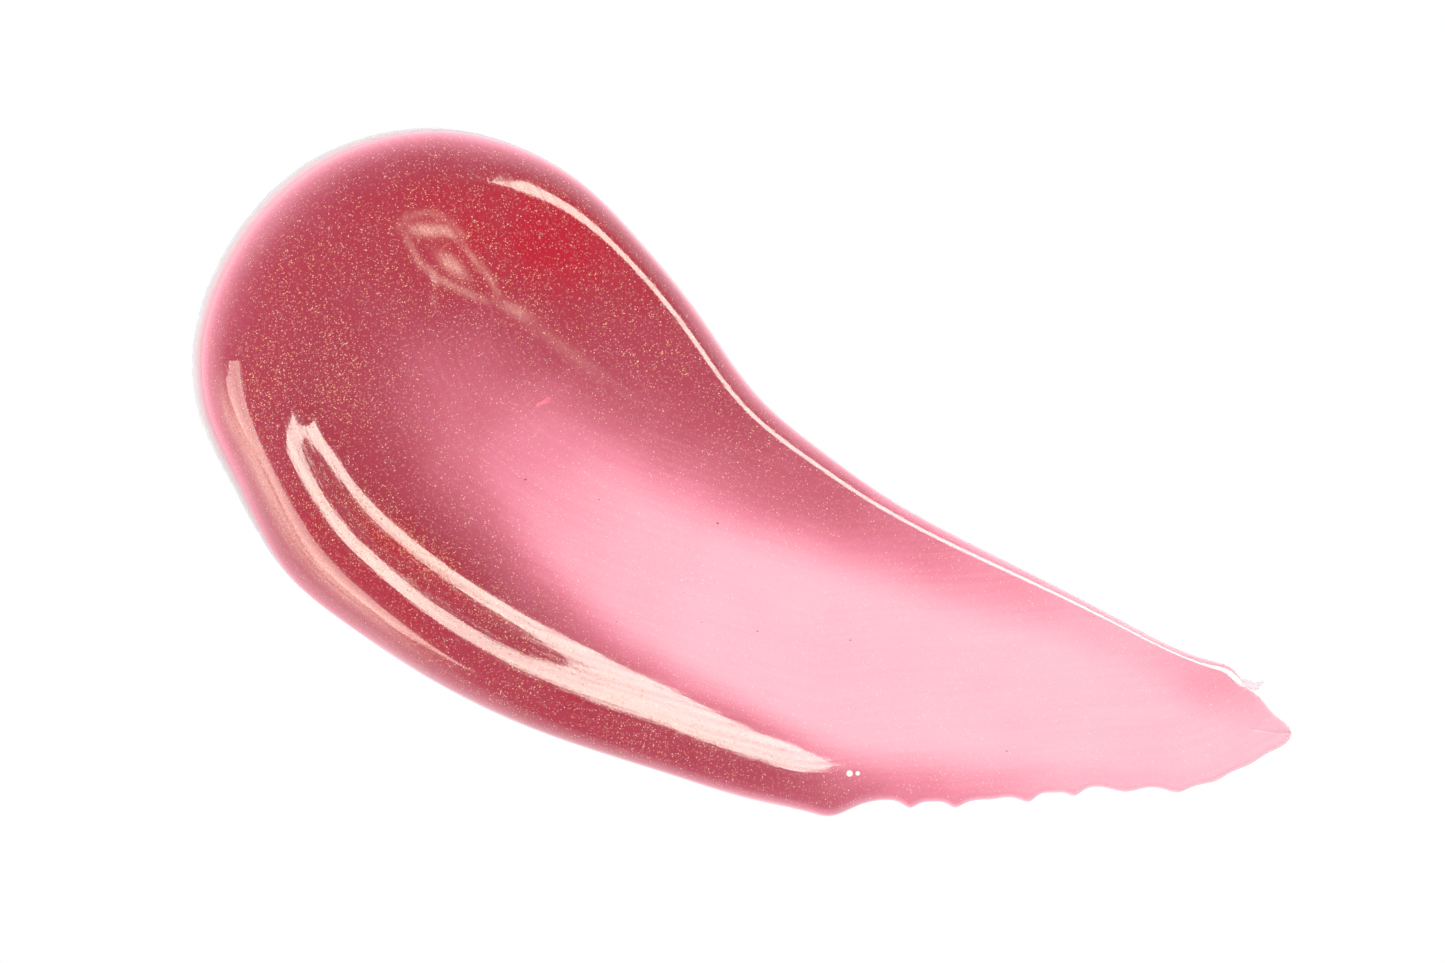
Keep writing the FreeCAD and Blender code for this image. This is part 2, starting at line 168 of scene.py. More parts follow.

# The fold where the applicator lifted, in millimetres from the middle of the curl. It stands up a little,
# and the gel's colour paints a pale reflection on it. Mounds have a strength, a place, a reach along and
# across, and a turn in degrees. Lines have their points, a width and a strength.
FOLD_MOUNDS = [
    (0.95, (-1.04, 1.13), (0.80, 0.28), -6), (0.55, (-0.05, 1.00), (0.55, 0.16), -30),
    (0.95, (0.06, -0.45), (0.72, 0.28), -42), (0.50, (2.87, -2.45), (0.80, 0.24), -26),
]
FOLD_LINES = [
    ([(-2.47, 1.08), (-2.0, 1.76), (-1.1, 1.93), (-0.31, 1.76), (0.26, 1.19), (0.83, 0.74)], 0.16, 0.30),
    ([(-2.13, 1.08), (-1.44, -0.29), (-0.53, -1.08), (0.60, -1.65), (1.97, -2.22)], 0.15, 0.60),
    ([(0.26, 0.74), (1.17, -0.29), (1.86, -1.20), (2.30, -2.00)], 0.14, 0.50),
    ([(2.87, -2.45), (3.67, -3.13), (5.37, -4.38), (7.20, -5.74)], 0.30, 0.20),
]

# Where the gold has settled thickest: how many times more there is, and the place as for a mound.
THICK_MICA = [(1.5, ((-19.5, 3.5), (4.0, 3.0), 0.9)), (3.2, TROUGH)]

ROWS, COLUMNS, EDGE_CROWDING = 520, 176, 0.75
RIM_NEAR_END, RIM_FAR_END = 0.21, 0.33


# --- curves and fields -------------------------------------------------------------------------------------


def closed_spline(knots, steps):
    """Points on the smooth closed curve through the knots.

    On each span the curve is a cubic of the chord's length. The curvatures at the knots solve one linear
    system, which makes slope and curvature agree wherever two spans meet.
    """
    after = np.roll(knots, -1, 0)
    span = np.linalg.norm(after - knots, axis=1)
    before, i, n = np.roll(span, 1), np.arange(len(knots)), len(knots)
    system = np.zeros((n, n))
    system[i, (i - 1) % n] += before
    system[i, i] += 2 * (before + span)
    system[i, (i + 1) % n] += span
    slope = (after - knots) / span[:, None]
    bend = np.linalg.solve(system, 6 * (slope - np.roll(slope, 1, 0)))
    span, bend_after = span[:, None, None], np.roll(bend, -1, 0)[:, None]
    share = np.linspace(0, 1, steps, endpoint=False)[None, :, None]
    left, right = (1 - share) * span, share * span
    bend, knots, after = bend[:, None], knots[:, None], after[:, None]
    curve = (bend * left ** 3 + bend_after * right ** 3) / (6 * span)
    curve = curve + (knots / span - bend * span / 6) * left + (after / span - bend_after * span / 6) * right
    return curve.reshape(-1, 2)


def lengths_along(path):
    """The distance from the path's start to each of its points."""
    return np.concatenate([[0], np.cumsum(np.linalg.norm(np.diff(path, axis=0), axis=1))])


def at_shares(path, shares):
    """Points at these shares of the path's length."""
    run = lengths_along(path)
    return np.stack([np.interp(shares * run[-1], run, path[:, k]) for k in (0, 1)], 1)


def averaged(values, reach):
    """The values under a bell window that reaches this many places each way, without the two ends."""
    window = np.hanning(2 * reach + 1)
    return np.convolve(values, window / window.sum(), mode="valid")


def smooth_table(stations, column, span=(-0.5, 1.5), steps=STATION_STEPS, reach=STATION_BLUR):
    """A function of the place along a table: straight runs between the stations, averaged over a short
    window, so that no crease crosses the gel."""
    table = np.array(stations)
    fine = np.linspace(*span, steps)
    values = np.interp(fine, table[:, 0], table[:, column])
    smooth = averaged(np.pad(values, reach, mode="edge"), reach)
    return lambda place: np.interp(place, fine, smooth)


def nearest(path, points):
    """For each point, its distance to the path and the share of the path's length where it is nearest.

    The nearest of the path's own points is found first, and the foot of the perpendicular on the two
    segments beside it then gives the distance without steps.
    """
    run = lengths_along(path)
    pick = np.empty(len(points), int)
    for start in range(0, len(points), 4096):
        part = points[start:start + 4096]
        gap = (part[:, None, 0] - path[None, :, 0]) ** 2 + (part[:, None, 1] - path[None, :, 1]) ** 2
        pick[start:start + 4096] = gap.argmin(1)
    best, where = np.full(len(points), np.inf), np.zeros(len(points))
    for side in (-1, 0):
        a = np.clip(pick + side, 0, len(path) - 2)
        step = path[a + 1] - path[a]
        size = np.maximum((step ** 2).sum(1), 1e-12)
        share = np.clip(((points - path[a]) * step).sum(1) / size, 0, 1)
        gap = np.linalg.norm(points - path[a] - step * share[:, None], axis=1)
        better = gap < best
        best = np.where(better, gap, best)
        where = np.where(better, (run[a] + share * (run[a + 1] - run[a])) / run[-1], where)
    return best, where


def calmed(path, reach=4.0):
    """The path with every bend shorter than twice the reach averaged out, from end to end."""
    steps = 1600
    even = at_shares(path, np.linspace(0, 1, steps))
    half = int(reach / (lengths_along(path)[-1] / steps))
    head, tail = 2 * even[0] - even[half:0:-1], 2 * even[-1] - even[-2:-half - 2:-1]
    longer = np.concatenate([head, even, tail])
    return np.stack([averaged(longer[:, k], half) for k in (0, 1)], 1)


def beside(path, points):
    """For each point, its distance to a side and its share along it.

    Deeper in than the bends of the edge, both follow the calmed side, so no bend sends a crease inwards.
    """
    edge, _ = nearest(path, points)
    calm, share = nearest(calmed(path), points)
    return edge + (calm - edge) * ease((edge - 0.3) / 1.8), share


def ease(x):
    """0 below 0, 1 above 1, and a smooth step between."""
    x = np.clip(x, 0, 1)
    return x * x * (3 - 2 * x)


def waves(seed, count, low, high, *coordinates):
    """A sum of sine waves with random directions, phases and wavelengths from low to high, from -1 to 1."""
    rng = np.random.default_rng(seed)
    total = 0
    for _ in range(count):
        length = np.exp(rng.uniform(np.log(low), np.log(high)))
        turn, phase = rng.uniform(0, 2 * math.pi, 2)
        parts = (math.cos(turn), math.sin(turn)) if len(coordinates) == 2 else (1.0,)
        run = sum(p * c for p, c in zip(parts, coordinates))
        total = total + np.sin(2 * math.pi / length * run + phase)
    return total / count


# --- the footprint and the depth of the gel ----------------------------------------------------------------


def footprint():
    """The near side and the far side, each from the tip of the head to the tip of the tail."""
    knots = np.array(NEAR_SIDE + FAR_SIDE) * np.array([HALF_LONG, HALF_WIDE])
    steps = 24
    loop = closed_spline(knots, steps)
    tip = (len(NEAR_SIDE) - 1) * steps
    return loop[:tip + 1], np.concatenate([loop[tip:], loop[:1]])[::-1]


def inset(path, side, width):
    """The path moved sideways by a width for each of its points, to its left if side is 1."""
    along = np.gradient(path, axis=0)
    along /= np.linalg.norm(along, axis=1, keepdims=True)
    return path + side * np.stack([-along[:, 1], along[:, 0]], 1) * width[:, None]


def rim_width(share, end):
    """The clear rim's width: full round the head, falling smoothly to nothing at its end."""
    return settings().rim_width / MM * (1 - ease((share / end - 0.35) / 0.65))


def gel_sides():
    """The near and far sides of the gel itself, inside the clear rim."""
    sides = []
    for path, side, end in zip(footprint(), (1, -1), (RIM_NEAR_END, RIM_FAR_END)):
        share = lengths_along(path)
        sides.append(inset(path, side, rim_width(share / share[-1], end)))
    middle = (sides[0][0] + sides[1][0]) / 2
    sides[0][0] = sides[1][0] = middle
    return sides


def pool_level(points, table):
    """The pool's level, from a table over the distance down the stroke, along parabolas round its apex."""
    away = points - np.array(POOL_APEX)
    down = away[:, 0] * math.cos(POOL_TURN) + away[:, 1] * math.sin(POOL_TURN)
    aside = -away[:, 0] * math.sin(POOL_TURN) + away[:, 1] * math.cos(POOL_TURN)
    smooth = smooth_table(table, 1, span=(-60, 60), steps=2401, reach=40)
    return smooth(down - aside ** 2 / (2 * POOL_BEND))


def mound(points, middle, reach, turn=0.0):
    """1 at the middle, falling off as a bell curve whose reach differs along and across the turned axis."""
    away = points - np.array(middle)
    along = away[:, 0] * math.cos(turn) + away[:, 1] * math.sin(turn)
    across = -away[:, 0] * math.sin(turn) + away[:, 1] * math.cos(turn)
    return np.exp(-(along / reach[0]) ** 2 - (across / reach[1]) ** 2)


def swirl(points):
    """The strength, from 0 to 1, of the fold that the applicator left: an arch, a blob and their trails."""
    low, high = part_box("applicator_curl")
    at = points - np.array([low.x + high.x, low.y + high.y]) / 2 / MM
    strength = 0
    for share, place, reach, turn in FOLD_MOUNDS:
        strength = strength + share * mound(at, place, reach, math.radians(turn))
    for line, width, share in FOLD_LINES:
        gap, along = nearest(at_shares(np.array(line), np.linspace(0, 1, 60)), at)
        strength = strength + share * np.exp(-(gap / width) ** 2) * np.sin(math.pi * along) ** 0.5
    return np.clip(strength, 0, 1)


def banked(banks, tables, rounds, level):
    """A level over the plan in millimetres, banked up along both sides.

    Away from the edges it is the pool's. Towards each side a smooth step lifts it to that side's level, and
    within the outer flank it falls to nothing at the edge, as one less the squared share of the flank that
    is left, to the power of the flank's rounding.
    """
    lift, height, reach, edge, power = [], [], [], [], []
    for (gap, share), stations, rounding in zip(banks, tables, rounds):
        power.append(smooth_table(rounding, 1)(share))
        flank, start, end, top = (smooth_table(stations, k)(share) for k in (1, 2, 3, 4))
        lift.append(1 - ease((gap - start) / (end - start)))
        height.append(top)
        reach.append(flank)
        edge.append(gap)
    both = lift[0] + lift[1]
    bank = (lift[0] * height[0] + lift[1] * height[1]) / np.maximum(both, 1e-6)
    level = level + (bank - level) * (both - lift[0] * lift[1])
    near = edge[0] <= edge[1]
    fall = np.clip(1 - np.where(near, edge[0], edge[1]) / np.where(near, reach[0], reach[1]), 0, 1)
    return level * (1 - fall ** 2) ** np.where(near, power[0], power[1])


class GelField:
    """The gel as a grid: rows from the head to the tail, columns from the near side to the far side."""

    def __init__(self):
        self.sides = gel_sides()
        rows = np.linspace(0, 1, ROWS)
        near, far = (at_shares(side, rows) for side in self.sides)
        even = np.linspace(0, 1, COLUMNS)
        across = (1 - EDGE_CROWDING) * even + EDGE_CROWDING * (1 - np.cos(math.pi * even)) / 2
        self.plan = near[:, None] + (far - near)[:, None] * across[None, :, None]
        points = self.plan.reshape(-1, 2)
        banks = [beside(side, points) for side in self.sides]
        fold_and_sheen = swirl(points)
        pool = pool_level(points, POOL_HEIGHT)
        height = banked(banks, (NEAR_HEIGHT, FAR_HEIGHT), (NEAR_ROUND, FAR_ROUND), pool)
        height = height + settings().fold_height / MM * fold_and_sheen
        pool = pool_level(points, POOL_TINT)
        tint = banked(banks, (NEAR_TINT, FAR_TINT), (NEAR_EVEN, FAR_EVEN), pool)
        tint = tint + RICH_TINT * mound(points, *RICH_SPOT)
        tint = tint + TROUGH_TINT * mound(points, *TROUGH)
        height = height.reshape(ROWS, COLUMNS)
        height[:, 0] = height[:, -1] = 0
        height[0] = height[-1] = 0
        self.height, self.tint = height, tint.reshape(ROWS, COLUMNS)
        # A pale streak of painted reflection along the outer near flank joins the fold in the mask for the
        # colour.
        edge, share = banks[0]
        flank_sheen_streak = np.exp(-((edge - np.interp(share, STREAK_SHARE, STREAK_GAP)) / STREAK_WIDTH) ** 2)
        flank_sheen_streak *= STREAK_STRENGTH * ease(share / 0.06) * ease((0.36 - share) / 0.16)
        self.fold_and_sheen = np.maximum(fold_and_sheen, flank_sheen_streak).reshape(ROWS, COLUMNS)
        self.gap = edge.reshape(ROWS, COLUMNS)
        self.along = share.reshape(ROWS, COLUMNS) * lengths_along(self.sides[0])[-1]
        self.normal = self.normals()

    def normals(self):
        """The upward normal at each grid point, from the differences along the rows and the columns."""
        surface = np.concatenate([self.plan, self.height[:, :, None]], 2)
        cross = np.cross(np.gradient(surface, axis=0), np.gradient(surface, axis=1))
        cross *= np.sign(cross[:, :, 2:] + 1e-12)
        return cross / np.maximum(np.linalg.norm(cross, axis=2, keepdims=True), 1e-9)

    def height_at(self, point):
        """The height at a plan point, from the nearest grid point."""
        flat = self.plan.reshape(-1, 2)
        return self.height.ravel()[((flat - point) ** 2).sum(1).argmin()]

    def at(self, row, column):
        """Place, tint and upward normal at fractional rows and columns, from the four nearest points."""
        i, j = np.minimum(row.astype(int), ROWS - 2), np.minimum(column.astype(int), COLUMNS - 2)
        a, b = row - i, column - j
        stack = np.concatenate([self.plan, self.height[:, :, None], self.tint[:, :, None], self.normal], 2)
        corners = (stack[i, j], stack[i + 1, j], stack[i, j + 1], stack[i + 1, j + 1])
        weights = ((1 - a) * (1 - b), a * (1 - b), (1 - a) * b, a * b)
        return sum(w[:, None] * c for w, c in zip(weights, corners))


# --- meshes ------------------------------------------------------------------------------------------------


def new_piece(name, points, faces, material, replaces=(), flat=None, values=None, uv=None,
              turn_out=True):
    """A mesh piece in the row frame from points in millimetres, riding on the part's body."""
    mesh = bpy.data.meshes.new(name)
    mesh.from_pydata((np.asarray(points, float) * MM).tolist(), [], faces)
    if turn_out:
        shell = bmesh.new()
        shell.from_mesh(mesh)
        bmesh.ops.recalc_face_normals(shell, faces=shell.faces)
        shell.to_mesh(mesh)
        shell.free()
    smooth = np.ones(len(mesh.polygons), bool)
    if flat is not None:
        smooth[flat] = False
    mesh.polygons.foreach_set("use_smooth", smooth)
    for key, array in (values or {}).items():
        attribute = mesh.attributes.new(key, "FLOAT", "POINT")
        attribute.data.foreach_set("value", np.asarray(array, np.float32))
    if uv is not None:
        layer = mesh.uv_layers.new(name="OFBake")
        corners = np.empty(len(mesh.loops), np.int32)
        mesh.loops.foreach_get("vertex_index", corners)
        layer.uv.foreach_set("vector", np.asarray(uv, np.float32)[corners].ravel())
    mesh.materials.append(material)
    mesh.update()
    piece = bpy.data.objects.new(name, mesh)
    bpy.context.scene.collection.objects.link(piece)
    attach(piece, BODY)
    if replaces:
        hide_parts(*replaces)
    return piece


def loft(rings):
    """A closed skin through rings of as many points each, with one face over each end."""
    rings = np.asarray(rings, float)
    count, size = rings.shape[:2]
    i, j = np.meshgrid(np.arange(count - 1), np.arange(size), indexing="ij")
    a, b = (i * size + j).ravel(), (i * size + (j + 1) % size).ravel()
    faces = np.stack([a, b, b + size, a + size], 1).tolist()
    faces += [list(range(size))[::-1], list(range((count - 1) * size, count * size))]
    return rings.reshape(-1, 3), faces


def joined(skins):
    """Several skins as one list of points and one of faces."""
    points, faces = [], []
    for skin_points, skin in skins:
        faces += [[k + len(points) for k in face] for face in skin]
        points += skin_points.tolist()
    return points, faces


def at_level(plan, height):
    """Plan points raised to one height."""
    return np.column_stack([plan, np.full(len(plan), height)])


def cad_islands(node):
    """The middle and half size, in millimetres, of each separate solid of a CAD node."""
    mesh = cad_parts[node].data
    parent = list(range(len(mesh.vertices)))

    def root(k):
        while parent[k] != k:
            parent[k] = parent[parent[k]]
            k = parent[k]
        return k

    for edge in mesh.edges:
        parent[root(edge.vertices[0])] = root(edge.vertices[1])
    groups = {}
    for vertex in mesh.vertices:
        groups.setdefault(root(vertex.index), []).append(tuple(vertex.co))
    islands = []
    for points in groups.values():
        low, high = np.min(points, 0) / MM, np.max(points, 0) / MM
        islands.append(((low + high) / 2, (high - low) / 2))
    return sorted(islands, key=lambda island: tuple(island[0]))


def tilted(normal, tilt, turn):
    """Two unit vectors across each normal after tilting it, and the tilted normal itself."""
    side = np.stack([np.cos(turn), np.sin(turn), np.zeros(len(turn))], 1)
    normal = normal + side * np.tan(tilt)[:, None]
    normal /= np.linalg.norm(normal, axis=1, keepdims=True)
    first = np.cross(normal, side)
    first /= np.linalg.norm(first, axis=1, keepdims=True)
    return first, np.cross(normal, first), normal


# --- shader maths ------------------------------------------------------------------------------------------


def feed(tree, slot, value):
    """Link a term to a socket, or give the socket a value."""
    if isinstance(value, Term):
        tree.links.new(value.socket, slot)
    else:
        slot.default_value = value


class Term:
    """A socket of a shader tree, with the arithmetic that adds Math nodes."""

    def __init__(self, tree, socket):
        self.tree, self.socket = tree, socket

    def math(self, operation, other):
        node = self.tree.nodes.new("ShaderNodeMath")
        node.operation = operation
        for slot, value in zip(node.inputs, (self, other)):
            feed(self.tree, slot, value)
        return Term(self.tree, node.outputs[0])

    def __add__(self, other):
        return self.math("ADD", other)

    def __sub__(self, other):
        return self.math("SUBTRACT", other)

    def __mul__(self, other):
        return self.math("MULTIPLY", other)


class Surface:
    """A material with one Principled shader and a method that adds any other node."""

    def __init__(self, name, **constants):
        self.material = bpy.data.materials.new(name)
        self.material.use_nodes = True
        self.tree = self.material.node_tree
        self.shader = self.tree.nodes["Principled BSDF"]
        for key, value in constants.items():
            self.shader.inputs[key.replace("_", " ")].default_value = value

    def node(self, kind, output=0, settings=None, stops=None, **inputs):
        """A node of this type with its settings, a ramp's stops, and the values or links of its sockets."""
        node = self.tree.nodes.new("ShaderNode" + kind)
        for key, value in (settings or {}).items():
            setattr(node, key, value)
        if stops:
            elements = node.color_ramp.elements
            for place, colour in stops[2:]:
                elements.new(place)
            for element, (place, colour) in zip(elements, stops):
                element.position, element.color = place, (*colour, 1)
        for key, value in inputs.items():
            feed(self.tree, node.inputs[key.replace("_", " ")], value)
        return Term(self.tree, node.outputs[output])

    def mix(self, share, first, second):
        """A colour mix of the first and the second, by the share."""
        node = self.tree.nodes.new("ShaderNodeMix")
        node.data_type = "RGBA"
        slots = (node.inputs["Factor"], node.inputs[6], node.inputs[7])
        for slot, value in zip(slots, (share, first, second)):
            feed(self.tree, slot, value)
        return Term(self.tree, node.outputs[2])

    def attribute(self, name):
        return self.node("Attribute", output="Fac", settings={"attribute_name": name})

    def drive(self, socket, term):
        self.tree.links.new(term.socket, self.shader.inputs[socket])


def srgb(*levels):
    """A colour given as display levels from 0 to 255, as the linear values that shaders take."""
    share = [v / 255 for v in levels]
    return tuple(v / 12.92 if v <= 0.04045 else ((v + 0.055) / 1.055) ** 2.4 for v in share)


EXPOSURE = 1.45


def lit(*levels):
    """A base colour that shows at these display levels under the stage's even light."""
    return tuple(v / EXPOSURE for v in srgb(*levels))


# Fine mica in the gel: the cells' scale, the share of them that shine, their tone and its strength.
GLINTS = [(9000.0, 0.22, (0.90, 0.50, 0.36), 0.28), (12000.0, 0.35, (1.0, 0.80, 0.70), 0.22)]


def gel_material():
    """Tinted gel: its colour follows its depth, from a pale blush to a deep rose, with fine mica in it.

    Slow noise shifts the depth a little, so the colour drifts as in a stirred liquid, and noise drawn out
    along the stroke leaves the applicator's drag lines. On the fold and on a streak along the outer near
    flank the colour turns a pale peach, a painted reflection broken up by the same drag lines. Cells of two
    sizes hold mica, and a few catch the light. The bump is the same drag, with a grain that frays the
    reflections and a wobble that bends them.
    """
    s = Surface("tinted_gel", Roughness=0.12, IOR=1.47, Coat_Weight=1.0, Coat_Roughness=0.04)
    depth = s.attribute("depth")
    place = s.node("TexCoord", output="Object")
    drag = s.node("CombineXYZ", X=s.attribute("gap") * 4.2, Y=s.attribute("along") * 0.12)
    lines = s.node("TexNoise", Vector=drag, Scale=1.0, Detail=3.0)
    drift = s.node("TexNoise", Vector=place, Scale=300.0, Detail=2.0)
    speck = s.node("TexNoise", Vector=place, Scale=15000.0, Detail=2.0)
    shifted = depth * ((lines - 0.5) * 0.22 + (drift - 0.5) * 0.34 + 1) + (speck - 0.5) * 0.16
    stops = [(0.0, lit(246, 230, 236)), (0.04, lit(246, 204, 218)), (0.09, settings().film_colour),
             (0.13, lit(238, 175, 195)), (0.20, lit(238, 155, 178)), (0.28, lit(229, 132, 158)),
             (0.38, lit(207, 109, 132)), (0.50, lit(187, 88, 110)), (0.66, settings().deep_colour),
             (0.82, lit(166, 49, 69)), (1.0, settings().richest_colour)]
    colour = s.node("ValToRGB", stops=stops, Fac=shifted * (1 / 2.5))
    # Painted reflection: on the fold and the near flank's streak the colour turns a pale peach, broken up by
    # the drag lines.
    drag_streaked_sheen = s.node("MapRange", Value=lines * 0.5 + speck * 0.5, From_Min=0.38, From_Max=0.56, To_Min=0.25)
    colour = s.mix(s.attribute("fold_and_sheen") * drag_streaked_sheen, colour, (*lit(240, 182, 172), 1))
    for scale, share, tone, strength in GLINTS:
        cells = s.node("TexVoronoi", output="Color", Vector=place, Scale=scale)
        pick = s.node("SeparateColor", output=0, Color=cells)
        near = s.node("TexVoronoi", output="Distance", Vector=place, Scale=scale)
        bright = s.node("MapRange", Value=pick, From_Min=1 - share, From_Max=1.0)
        spot = s.node("MapRange", Value=near, From_Min=0.55, From_Max=0.25)
        thick = s.node("MapRange", Value=depth, From_Min=0.1, From_Max=1.6, To_Min=0.6, To_Max=0.9)
        colour = s.mix(bright * spot * thick * strength, colour, (*[v / EXPOSURE for v in tone], 1))
    s.drive("Base Color", colour)
    s.drive("Coat Weight", s.node("MapRange", Value=lines, From_Min=0.36, From_Max=0.60, To_Min=0.62))
    smooth = s.node("MapRange", Value=lines, From_Min=0.38, From_Max=0.62, To_Min=0.15, To_Max=0.06)
    s.drive("Roughness", smooth)
    grain = s.node("TexNoise", Vector=place, Scale=7000.0, Detail=1.0)
    wobble = s.node("TexNoise", Vector=place, Scale=1100.0, Detail=1.0)
    bump = s.node("Bump", Height=lines * 0.014 + grain * 0.005 + wobble * 0.018, Strength=1.0, Distance=MM)
    s.drive("Normal", bump)
    return s.material


def rim_material():
    """Clear oil round the head: faintly lilac at its outer edge, blushing where the gel begins."""
    s = Surface("clear_oil", Roughness=0.30, IOR=1.40)
    stops = [(0.0, lit(236, 228, 240)), (0.3, lit(246, 216, 228)), (0.6, lit(248, 184, 198)),
             (1.0, lit(244, 142, 162))]
    across = s.attribute("across")
    s.drive("Base Color", s.node("ValToRGB", stops=stops, Fac=across))
    s.drive("Alpha", s.node("MapRange", Value=across, From_Max=0.7, To_Min=0.22, To_Max=0.92))
    return s.material


def flake_material(name, stops, metal):
    """Mica: each flake has one tone of its own, and a sheen."""
    s = Surface(name, Roughness=0.35, Metallic=metal, IOR=1.6)
    s.drive("Base Color", s.node("ValToRGB", stops=stops, Fac=s.attribute("tone")))
    return s.material


def grain_material():
    """Undispersed pigment: dark wine grains, mottled."""
    s = Surface("dark_pigment", Roughness=0.6)
    place = s.node("TexCoord", output="Object")
    mottle = s.node("TexNoise", Vector=place, Scale=12000.0, Detail=2.0)
    stops = [(0.3, lit(96, 34, 44)), (0.7, lit(150, 62, 70))]
    s.drive("Base Color", s.node("ValToRGB", stops=stops, Fac=mottle))
    return s.material


def bubble_material():
    """Air under thin gel: near white at its dome, partly the pale skin and partly a painted highlight,
    blushing at its foot.
    """
    s = Surface("bubble_skin_and_highlight", Roughness=0.08, IOR=1.4, Coat_Weight=1.0)
    stops = [(0.1, lit(246, 176, 186)), (0.5, lit(255, 240, 238)), (1.0, lit(255, 252, 250))]
    s.drive("Base Color", s.node("ValToRGB", stops=stops, Fac=s.attribute("lift")))
    return s.material


def paste_material():
    """A streak of undispersed paste: a warmer pink than the gel, softly mottled."""
    s = Surface("pink_paste", Roughness=0.3, Coat_Weight=0.5)
    place = s.node("TexCoord", output="Object")
    mottle = s.node("TexNoise", Vector=place, Scale=5000.0, Detail=2.0)
    stops = [(0.35, lit(226, 100, 128)), (0.65, lit(242, 132, 152))]
    s.drive("Base Color", s.node("ValToRGB", stops=stops, Fac=mottle))
    return s.material


# --- settings and operators --------------------------------------------------------------------------------


class GLOSS_PG_settings(bpy.types.PropertyGroup):
    """The sizes and colours that a maker would change"""

    rim_width: FloatProperty(
        name="Rim width", description="How far the clear oil has crept round the head",
        default=0.42 * MM, min=0.05 * MM, max=1.0 * MM, precision=5, unit="LENGTH")
    rim_depth: FloatProperty(
        name="Rim depth", description="How thick the clear oil stands where the gel begins",
        default=0.10 * MM, min=0.02 * MM, max=0.3 * MM, precision=5, unit="LENGTH")
    fold_height: FloatProperty(
        name="Fold height", description="How far the applicator's fold stands up",
        default=0.05 * MM, min=0.0, max=0.2 * MM, precision=5, unit="LENGTH")
    gold_flakes: IntProperty(
        name="Gold flakes", description="How many gold flakes lie at the surface",
        default=7500, min=0, max=16000)
    pearl_flakes: IntProperty(
        name="Pearl flakes", description="How many pearl flakes lie at the surface",
        default=6500, min=0, max=16000)
    film_colour: FloatVectorProperty(
        name="Film colour", description="The gel where it is thinnest",
        default=lit(237, 187, 206), size=3, min=0, max=1, subtype="COLOR")
    deep_colour: FloatVectorProperty(
        name="Deep colour", description="The gel where it is deep",
        default=lit(170, 65, 86), size=3, min=0, max=1, subtype="COLOR")
    richest_colour: FloatVectorProperty(
        name="Richest colour", description="The gel where pigment has gathered",
        default=lit(178, 20, 46), size=3, min=0, max=1, subtype="COLOR")


def settings():
    return bpy.context.scene.gloss_settings


@functools.lru_cache(maxsize=1)
def gel_field():
    """The gel's grid, which every piece that lies on the gel shares."""
    return GelField()


class GLOSS_OT_gel(bpy.types.Operator):
    """Add the gel: one continuous liquid from the head to the tail, with its rolls and its film"""

    bl_idname = "gloss.gel"
    bl_label = "Gel"

    def execute(self, context):
        field = gel_field()
        inner = slice(1, ROWS - 1)
        top = np.concatenate([field.plan, field.height[:, :, None]], 2)[inner].reshape(-1, 3)
        poles = np.array([[*field.plan[0, 0], 0], [*field.plan[-1, 0], 0]])
        points = np.concatenate([top, poles])
        rows, n = ROWS - 2, COLUMNS
        i, j = np.meshgrid(np.arange(rows - 1), np.arange(n - 1), indexing="ij")
        a = (i * n + j).ravel()
        faces = np.stack([a, a + n, a + n + 1, a + 1], 1).tolist()
        head, tail, last = rows * n, rows * n + 1, (rows - 1) * n
        k = np.arange(n - 1)
        faces += np.stack([np.full(n - 1, head), k, k + 1], 1).tolist()
        faces += np.stack([last + k, np.full(n - 1, tail), last + k + 1], 1).tolist()
        under = len(faces)
        r = np.arange(rows - 1) * n
        faces += np.stack([r, r + n - 1, r + 2 * n - 1, r + n], 1).tolist()
        faces += [[head, n - 1, 0], [last, last + n - 1, tail]]
        flat = np.arange(under, len(faces))
        values = {key: np.concatenate([array[inner].ravel(), [0, 0]]) for key, array in
                  (("depth", field.tint), ("gap", field.gap), ("along", field.along), ("fold_and_sheen", field.fold_and_sheen))}
        share = np.meshgrid(np.linspace(0, 1, COLUMNS), np.linspace(0, 1, ROWS)[inner])
        uv = np.stack([np.append(share[0].ravel(), [0.5, 0.5]), np.append(share[1].ravel(), [0, 1])], 1)
        new_piece("gloss_gel", points, faces, gel_material(),
                  ("contact_film", "near_roll", "far_roll", "head_pool", "applicator_curl"),
                  flat=flat, values=values, uv=uv)
        return {"FINISHED"}


